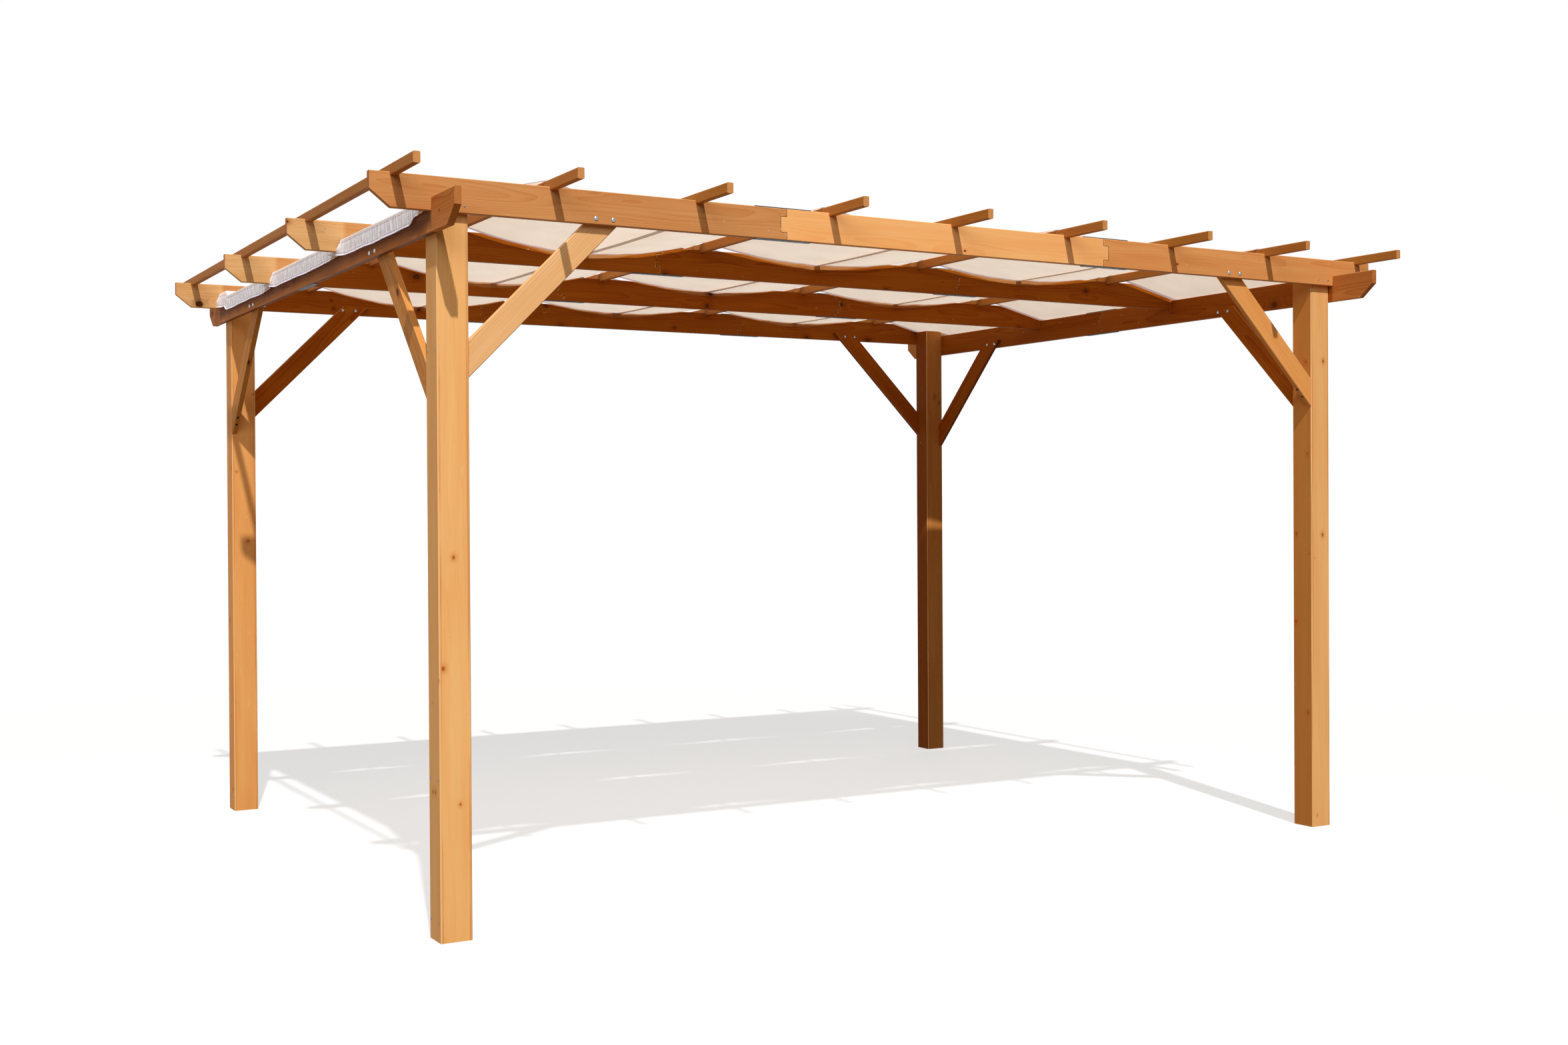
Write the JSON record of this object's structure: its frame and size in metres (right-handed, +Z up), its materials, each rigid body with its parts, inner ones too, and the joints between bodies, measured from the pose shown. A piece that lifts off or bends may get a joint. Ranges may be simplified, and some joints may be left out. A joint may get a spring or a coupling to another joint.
{
  "type": "pergola",
  "caption": "Free-standing timber pergola: posts with knee braces, cross-lapped and spliced beams, and notched roof battens with cloth strips woven over and under them.",
  "frame": {"origin": "on the ground at the centre of the footprint", "axes": "+X along the long beams from left to right, +Y from the front to the back, +Z up"},
  "size_m": [4, 3.154, 2.2254],
  "materials": {
    "post_timber": "stained softwood, satin",
    "beam_timber": "stained softwood, satin",
    "batten_timber": "stained softwood, satin",
    "brace_timber": "stained softwood, satin",
    "canopy_cloth": "woven, crinkled, matt",
    "zinc_plate": "galvanised, dull"
  },
  "bodies": {
    "root": {"post_front_left": "post_timber", "post_front_right": "post_timber", "post_back_left": "post_timber", "post_back_right": "post_timber", "front_beam_left": "beam_timber", "front_beam_middle": "beam_timber", "front_beam_right": "beam_timber", "inner_front_beam_left": "beam_timber", "inner_front_beam_middle": "beam_timber", "inner_front_beam_right": "beam_timber", "inner_back_beam_left": "beam_timber", "inner_back_beam_middle": "beam_timber", "inner_back_beam_right": "beam_timber", "back_beam_left": "beam_timber", "back_beam_middle": "beam_timber", "back_beam_right": "beam_timber", "left_end_beam_front": "beam_timber", "left_end_beam_back": "beam_timber", "right_end_beam_front": "beam_timber", "right_end_beam_back": "beam_timber", "batten_1": "batten_timber", "batten_2": "batten_timber", "batten_3": "batten_timber", "batten_4": "batten_timber", "batten_5": "batten_timber", "batten_6": "batten_timber", "batten_7": "batten_timber", "batten_8": "batten_timber", "batten_9": "batten_timber", "brace_front_left_long": "brace_timber", "brace_front_right_long": "brace_timber", "brace_back_left_long": "brace_timber", "brace_back_right_long": "brace_timber", "brace_front_left_end": "brace_timber", "brace_front_right_end": "brace_timber", "brace_back_left_end": "brace_timber", "brace_back_right_end": "brace_timber", "canopy_front": "canopy_cloth", "canopy_middle": "canopy_cloth", "canopy_back": "canopy_cloth", "long_beam_splice_plates": "zinc_plate", "end_beam_splice_plates": "zinc_plate"}
  },
  "joints": []
}
